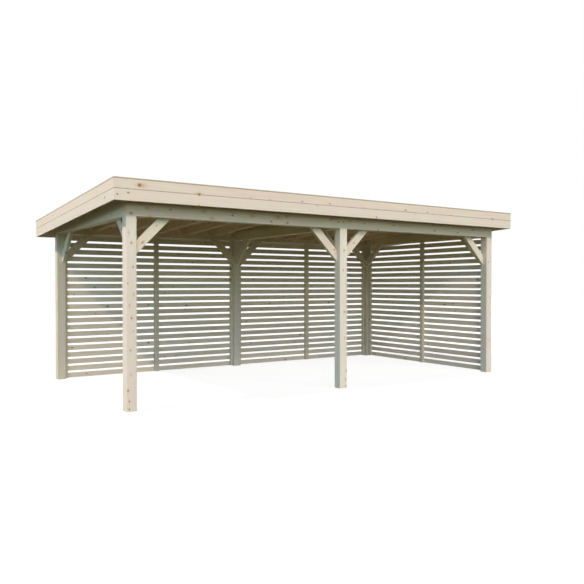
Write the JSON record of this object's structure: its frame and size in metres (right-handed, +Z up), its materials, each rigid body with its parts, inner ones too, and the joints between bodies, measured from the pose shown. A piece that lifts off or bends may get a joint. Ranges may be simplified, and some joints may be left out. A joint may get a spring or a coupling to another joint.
{
  "type": "garden pavilion",
  "caption": "Open-fronted timber garden pavilion: square posts, level beams, knee braces, a flat roof that falls to the back, and slatted screens at the back and right.",
  "frame": {"origin": "centre of the roof's outline, on the ground under the posts' feet", "axes": "+X to the right along the open front, +Y from the front to the slatted back, +Z up"},
  "size_m": [6.14, 3.4, 2.4207],
  "materials": {
    "post_timber": "planed, untreated spruce",
    "beam_timber": "planed, untreated spruce",
    "rafter_timber": "planed, untreated spruce",
    "brace_timber": "planed, untreated spruce",
    "roof_board": "planed, untreated spruce",
    "roofing_felt": "matte mineral roofing felt",
    "fascia_timber": "planed, untreated spruce",
    "capping_timber": "planed, untreated spruce",
    "batten_timber": "planed, untreated spruce",
    "slat_timber": "planed, untreated spruce"
  },
  "bodies": {
    "root": {"front_left_post": "post_timber", "front_middle_post": "post_timber", "front_right_post": "post_timber", "back_left_post": "post_timber", "back_middle_post": "post_timber", "back_right_post": "post_timber", "front_beam": "beam_timber", "back_beam": "beam_timber", "left_beam": "beam_timber", "right_beam": "beam_timber", "cross_beam": "beam_timber", "left_taper_board": "rafter_timber", "right_taper_board": "rafter_timber", "cross_taper_board": "rafter_timber", "front_left_braces": "brace_timber", "front_right_braces": "brace_timber", "back_left_braces": "brace_timber", "back_right_braces": "brace_timber", "left_side_braces": "brace_timber", "right_side_braces": "brace_timber", "cross_brace": "brace_timber", "left_bay_rafters": "rafter_timber", "right_bay_rafters": "rafter_timber", "edge_rafters": "rafter_timber", "roof_deck": "roof_board", "roof_felt": "roofing_felt", "front_lower_fascia": "fascia_timber", "back_lower_fascia": "fascia_timber", "left_lower_fascia": "fascia_timber", "right_lower_fascia": "fascia_timber", "front_upper_fascia": "fascia_timber", "back_upper_fascia": "fascia_timber", "left_upper_fascia": "fascia_timber", "right_upper_fascia": "fascia_timber", "front_cap": "capping_timber", "back_cap": "capping_timber", "left_cap": "capping_timber", "right_cap": "capping_timber", "back_left_battens": "batten_timber", "back_right_battens": "batten_timber", "right_side_battens": "batten_timber", "back_left_slats": "slat_timber", "back_right_slats": "slat_timber", "right_side_slats": "slat_timber"}
  },
  "joints": []
}
